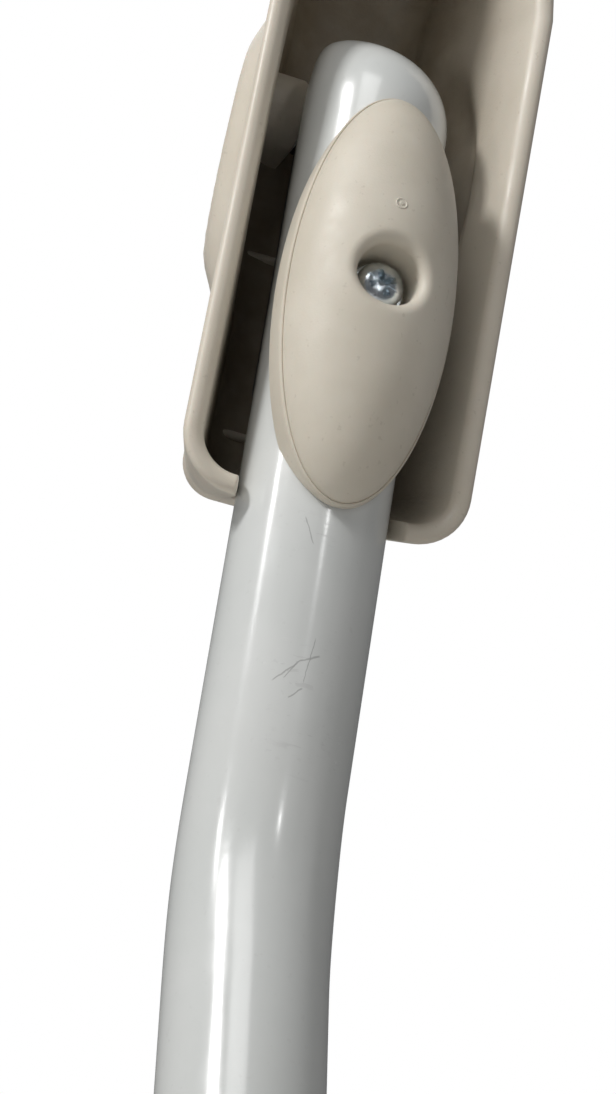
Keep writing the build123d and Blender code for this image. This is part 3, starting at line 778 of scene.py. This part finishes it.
def makeGripShell():
    columns = {}

    def spotAt(k, depth, inset):
        key = (round(depth * 1e6), inset)
        if key not in columns:
            columns[key] = gripColumn(depth, inset)
        p = columns[key][k]
        return Vector((p.x, lipY + depth, p.y))

    def floorDepth(k, inset, radius):
        depth = 30 * mm
        for _ in range(5):
            depth = gripBackY(spotAt(k, depth, inset).z) - inset - radius - lipY
        return depth

    def wallRows(inset, radius, shares):
        ends = [floorDepth(k, inset, radius) for k in range(halfCount)]
        rows = []
        for share in shares:
            row = []
            for k in range(halfCount):
                start = lipDepths[k] + grip["lip"]
                row.append(spotAt(k, start + (ends[k] - start) * share, inset))
            rows.append(mirrored(row))
        return rows

    def floorRows(edge, deeper, radius):
        outline = [Vector((p.x, p.z)) for p in edge]
        low, high = min(p.y for p in outline), max(p.y for p in outline)
        half = max(p.x for p in outline)
        spine = [Vector((0, min(max(p.y, low + half), high - half * 0.8))) for p in outline]
        shares = [radius / half * (1 - cos(pi / 2 * k / 12)) for k in range(1, 12)]
        shares += [radius / half + (1 - radius / half) * k / 8 for k in range(9)]
        rows = []
        for share in shares:
            row = [p.lerp(s, share) for p, s in zip(outline, spine)]
            depths = np.minimum(distanceTo(outline, row), radius)
            bulges = [sqrt(max(radius ** 2 - (radius - d) ** 2, 0)) for d in depths]
            rows.append([Vector((p.x, gripBackY(p.y) - deeper - radius + bulge, p.y))
                         for p, bulge in zip(row, bulges)])
        return rows

    def swollen(rows):
        for row in rows:
            for p in row:
                if abs(p.x) > grip["swellFrom"]:
                    p.x += (1 if p.x > 0 else -1) * swellAt(Vector((p.x, p.z)), p.y)
        return rows

    lip, wall, back = grip["lip"], grip["wall"], grip["back"]
    outerWall = wallRows(0, back, [k / 26 for k in range(27)])
    innerWall = wallRows(wall, back - wall, [k / 20 for k in range(21)])
    outerFloor = floorRows(outerWall[-1], 0, back)
    innerFloor = floorRows(innerWall[-1], wall, back - wall)
    lipRows = []
    for k in range(1, 17):
        angle = pi * k / 17
        inset = lip * (1 - cos(angle)) if angle < pi / 2 else wall - lip * (1 + cos(angle))
        rise = lip * (1 - sin(angle))
        crest = []
        for i in range(halfCount):
            depth = lipDepths[i] + rise
            crest.append(spotAt(i, depth, 0).lerp(spotAt(i, depth, wall), inset / wall))
        lipRows.append(mirrored(crest))
    rows = swollen(outerFloor[::-1] + outerWall[::-1]) + lipRows + swollen(innerWall + innerFloor)
    piece = loopsToPiece("gripShell", rows, gripPlastic)
    # painted shade: the inside is darkened to a warm brown, more the deeper it lies behind the lip, so most
    # of all at the bottom of the trough, standing in for shade in the hollow
    paintedShade = piece.data.attributes.new("paintedShade", "FLOAT", "POINT")
    middle = Vector((0, lipY + paintedShadeFrom["behindLip"], pin.z - paintedShadeFrom["belowPin"]))
    for vertex in piece.data.vertices:
        inside = vertex.normal.dot((middle - vertex.co).normalized()) > 0.02
        deep = min(max((vertex.co.y - lipY - paintedShadeFrom["shadeStart"]) / paintedShadeFrom["full"], 0), 1)
        paintedShade.data[vertex.index].value = deep ** 0.8 if inside else 0
    settle(piece, "grip", "shell", "grip_shell")


def makeHingeLugs():
    # two lugs stand on the trough's floor and hold the hinge bushes
    inside, seat, thick, radius, soft, hole, pocket = (
        lug[key] for key in ("inside", "seat", "thick", "radius", "soft", "hole", "pocket"))
    toFloor = grip["floorBehindPin"] + lug["intoFloor"]
    angles = [tau * i / 72 for i in range(72)]

    def edge(angle, inset):
        y, z = cos(angle), sin(angle)
        if y <= 0:
            return radius - inset
        return min(toFloor / max(y, 1e-6), (radius - inset) / max(abs(z), 1e-6))

    def lugPoint(side, x, y, z):
        # each lug ends inside the leaning side wall, never beyond it
        wallMiddle = grip["half"] - draftAt(pin.y + y - lipY) - grip["wall"] * lug["intoWall"]
        return pin + Vector((side * min(inside + x, wallMiddle), y, z))

    near = soft * 0.3
    outsides = ((0, soft), (near, near), (soft, 0), (thick - soft, 0), (thick - near, near), (thick, soft))
    for side, name in ((-1, "leftHingeLug"), (1, "rightHingeLug")):
        loops = []
        for x, inset in outsides:
            reaches = [(a, edge(a, inset)) for a in angles]
            loops.append([lugPoint(side, x, cos(a) * reach, sin(a) * reach) for a, reach in reaches])
        for x, bore in ((thick, pocket), (seat, pocket), (seat, hole), (0, hole)):
            loops.append([lugPoint(side, x, cos(a) * bore, sin(a) * bore) for a in angles])
        settle(loopsToPiece(name, loops, gripPlastic, joinEnds=True), "grip", "shell")


def makeFloorRibs():
    # low ribs across the floor, laid out by count, spacing and slope
    tree, sockets, source = newTree("floorRibs", {
        "Count": "NodeSocketInt", "Spacing": "NodeSocketVector", "Length": "NodeSocketFloat",
        "Radius": "NodeSocketFloat", "Material": "NodeSocketMaterial"})
    row = addNode(tree, "GeometryNodeMeshLine")
    tree.links.new(source.outputs["Count"], row.inputs["Count"])
    tree.links.new(source.outputs["Spacing"], row.inputs["Offset"])
    spine = addNode(tree, "GeometryNodeCurvePrimitiveLine")
    half = addNode(tree, "ShaderNodeMath", operation="MULTIPLY")
    half.inputs[1].default_value = 0.5
    start, stop = addNode(tree, "ShaderNodeCombineXYZ"), addNode(tree, "ShaderNodeCombineXYZ")
    flip = addNode(tree, "ShaderNodeMath", operation="MULTIPLY")
    flip.inputs[1].default_value = -0.5
    for a, b in ((source.outputs["Length"], half.inputs[0]), (source.outputs["Length"], flip.inputs[0]),
                 (half.outputs[0], stop.inputs["X"]), (flip.outputs[0], start.inputs["X"]),
                 (start.outputs[0], spine.inputs["Start"]), (stop.outputs[0], spine.inputs["End"])):
        tree.links.new(a, b)
    ridge = addNode(tree, "GeometryNodeCurvePrimitiveCircle", Resolution=16)
    tree.links.new(source.outputs["Radius"], ridge.inputs["Radius"])
    sweep = addNode(tree, "GeometryNodeCurveToMesh")
    sweep.inputs["Fill Caps"].default_value = True
    tree.links.new(spine.outputs["Curve"], sweep.inputs["Curve"])
    tree.links.new(ridge.outputs["Curve"], sweep.inputs["Profile Curve"])
    copies = addNode(tree, "GeometryNodeInstanceOnPoints")
    tree.links.new(row.outputs["Mesh"], copies.inputs["Points"])
    tree.links.new(sweep.outputs["Mesh"], copies.inputs["Instance"])
    endTree(tree, source, copies.outputs["Instances"])
    lowest = pin.z - grip["below"] + rib["fromEnd"]
    highest = lowest + rib["spacing"]
    first = Vector((0, gripBackY(lowest) - grip["wall"], lowest))
    second = Vector((0, gripBackY(highest) - grip["wall"], highest))
    piece = growPiece("gripFloorRibs", tree, sockets, {
        "Count": rib["count"], "Spacing": second - first, "Length": rib["length"], "Radius": rib["radius"]},
        gripPlastic, Matrix.Translation(first))
    settle(piece, "grip", "shell")


makeGripShell()
makeHingeLugs()
makeFloorRibs()
print("grip made")


washer = {"bore": 8.1 * mm, "thicknessShare": 0.6, "riseShare": 0.19, "waves": 3.0}


def makeWaveWasher():
    tree, sockets, source = newTree("waveWasher", {
        "Radius": "NodeSocketFloat", "Width": "NodeSocketFloat", "Thickness": "NodeSocketFloat",
        "Rise": "NodeSocketFloat", "Waves": "NodeSocketFloat", "Material": "NodeSocketMaterial"})
    circle = addNode(tree, "GeometryNodeCurvePrimitiveCircle", Resolution=96)
    spot = tree.nodes.new("GeometryNodeSplineParameter")
    angle, wave, lift = (addNode(tree, "ShaderNodeMath", operation=operation)
                         for operation in ("MULTIPLY", "SINE", "MULTIPLY"))
    full = addNode(tree, "ShaderNodeMath", operation="MULTIPLY")
    full.inputs[1].default_value = tau
    offset = tree.nodes.new("ShaderNodeCombineXYZ")
    shift = tree.nodes.new("GeometryNodeSetPosition")
    band = tree.nodes.new("GeometryNodeCurvePrimitiveQuadrilateral")
    sweep = tree.nodes.new("GeometryNodeCurveToMesh")
    for a, b in ((source.outputs["Radius"], circle.inputs["Radius"]),
                 (spot.outputs["Factor"], full.inputs[0]),
                 (full.outputs[0], angle.inputs[0]), (source.outputs["Waves"], angle.inputs[1]),
                 (angle.outputs[0], wave.inputs[0]), (wave.outputs[0], lift.inputs[0]),
                 (source.outputs["Rise"], lift.inputs[1]), (lift.outputs[0], offset.inputs["Z"]),
                 (circle.outputs["Curve"], shift.inputs["Geometry"]),
                 (offset.outputs[0], shift.inputs["Offset"]),
                 (source.outputs["Thickness"], band.inputs["Height"]),
                 (source.outputs["Width"], band.inputs["Width"]),
                 (shift.outputs["Geometry"], sweep.inputs["Curve"]),
                 (band.outputs["Curve"], sweep.inputs["Profile Curve"])):
        tree.links.new(a, b)
    endTree(tree, source, sweep.outputs["Mesh"])
    low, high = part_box("wave_washer")
    thick, outside = high.y - low.y, (high.x - low.x) / 2
    inside = washer["bore"]
    piece = growPiece("waveWasher", tree, sockets, {
        "Radius": (outside + inside) / 2, "Width": outside - inside,
        "Thickness": thick * washer["thicknessShare"], "Rise": thick * washer["riseShare"],
        "Waves": washer["waves"]}, plainSteel, standOn((low + high) / 2, across, Vector((0, -1, 0))))
    settle(piece, "crank", "steel", "wave_washer")


makeWaveWasher()
print("wave washer made")


# pieces carried over from the frame keep their shape and get a finish
finishOf = {
    "rosette_plate": plainSteel, "rosette_cover": gripPlastic, "bearing_bush": whiteNylon,
    "thrust_washer": whiteNylon, "retaining_ring": plainSteel, "hub": coatedCasting,
    "drive_spindle": plainSteel, "hub_screw": brightZinc, "hub_cap": capPlastic, "tube_rivet": brightZinc,
    "cap_washer": brightZinc, "lock_washer": brightZinc, "crush_sleeve": plainSteel,
    "pivot_carrier": carrierNylon, "threaded_insert": insertBrass, "hinge_pin": plainSteel,
    "left_pin_clip": plainSteel, "right_pin_clip": plainSteel, "left_hinge_bush": whiteNylon,
    "right_hinge_bush": whiteNylon, "rest_bumper": bumperRubber,
}
for nodeName, finish in finishOf.items():
    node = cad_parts[nodeName]
    node.data.materials.clear()
    node.data.materials.append(finish)
print("finishes given to", len(finishOf), "carried-over pieces")


studio = {
    "floorSize": 3.0, "floorDrop": 0.6 * mm, "skyLight": 0.13, "backdrop": 1.0,
    # name: direction from the oval cap, distance, size, watts
    "lights": {
        "keyLeft": ((-0.80, -0.30, 0.58), 0.9, (0.13, 0.13), 4.8),
        "keyFront": ((-0.45, -0.62, 0.75), 1.1, (0.45, 0.45), 2.6),
        "streakLeft": ((-0.896, -0.185, 0.395), 1.0, (0.07, 0.12), 0.8),
        "streakRight": ((0.14, -0.878, 0.456), 1.0, (0.05, 0.05), 0.35),
        "lowStreak": ((-0.72, 0.09, 0.69), 1.0, (0.03, 0.05), 0.2),
        "softRight": ((0.75, -0.45, 0.35), 1.2, (0.6, 0.6), 0.25),
        "softBack": ((0.1, 0.8, 0.6), 1.2, (0.7, 0.7), 2.0),
    },
}
view = {
    "azimuth": 15.55, "elevation": 17.41, "roll": 10.63, "lens": 95.73, "sensor": 36.0,
    "fromNose": (-118.776, -436.122, -232.255),     # in mm
}
floorLook = {
    "tint": (0.80, 0.79, 0.77), "tint2": (0.83, 0.82, 0.80), "speckTint": (0.74, 0.73, 0.71),
    "cloudScale": 3, "speckScale": 90, "speckAmount": 0.2, "rough": (0.55, 0.75),
    "grainScale": 240, "grainStrength": 0.08, "grainDepth": 0.0004,
    "waveScale": 12, "waveStrength": 0.04, "waveDepth": 0.002,
}


def makeStudio():
    low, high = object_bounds()
    bpy.ops.mesh.primitive_plane_add(size=studio["floorSize"], location=(0, 0, low.z - studio["floorDrop"]))
    floor = bpy.context.object
    floor.name = "studioFloor"
    floor.data.materials.append(newFinish("paleFloor", floorLook)[0])
    world = bpy.data.worlds.new("studioWorld")
    bpy.context.scene.world = world
    world.use_nodes = True
    tree = world.node_tree
    tree.nodes.clear()
    soft = addNode(tree, "ShaderNodeBackground", Color=(0.98, 0.985, 1.0, 1), Strength=studio["skyLight"])
    white = addNode(tree, "ShaderNodeBackground", Color=(1, 1, 1, 1), Strength=studio["backdrop"])
    seen = tree.nodes.new("ShaderNodeLightPath")
    mix, done = tree.nodes.new("ShaderNodeMixShader"), tree.nodes.new("ShaderNodeOutputWorld")
    tree.links.new(seen.outputs["Is Camera Ray"], mix.inputs[0])
    tree.links.new(soft.outputs[0], mix.inputs[1])
    tree.links.new(white.outputs[0], mix.inputs[2])
    tree.links.new(mix.outputs[0], done.inputs["Surface"])
    centre = capCentre
    for name, (direction, distance, size, watts) in studio["lights"].items():
        place = centre + Vector(direction).normalized() * distance
        lamp = bpy.data.lights.new(name, "AREA")
        lamp.shape = "RECTANGLE"
        lamp.size, lamp.size_y = size
        lamp.energy = watts
        holder = bpy.data.objects.new(name, lamp)
        aim = (centre - place).to_track_quat("-Z", "Y").to_matrix().to_4x4()
        holder.matrix_world = Matrix.Translation(place) @ aim
        bpy.context.scene.collection.objects.link(holder)


def makeCamera():
    az, el, roll = (radians(view[k]) for k in ("azimuth", "elevation", "roll"))
    look = Vector((cos(el) * sin(az), cos(el) * cos(az), sin(el)))
    flat = Vector((cos(az), -sin(az), 0))
    rise = flat.cross(look)
    right, up = flat * cos(roll) + rise * sin(roll), rise * cos(roll) - flat * sin(roll)
    place = noseTip + Vector(view["fromNose"]) * mm
    camera = bpy.data.objects.new("camera", bpy.data.cameras.new("camera"))
    camera.data.lens = view["lens"]
    camera.data.sensor_width = view["sensor"]
    camera.data.clip_start = 0.01
    camera.matrix_world = Matrix.Translation(place) @ Matrix((right, up, -look)).transposed().to_4x4()
    bpy.context.scene.collection.objects.link(camera)
    bpy.context.scene.camera = camera


makeStudio()
makeCamera()
bpy.context.scene.view_settings.view_transform = "Standard"
print("studio made")
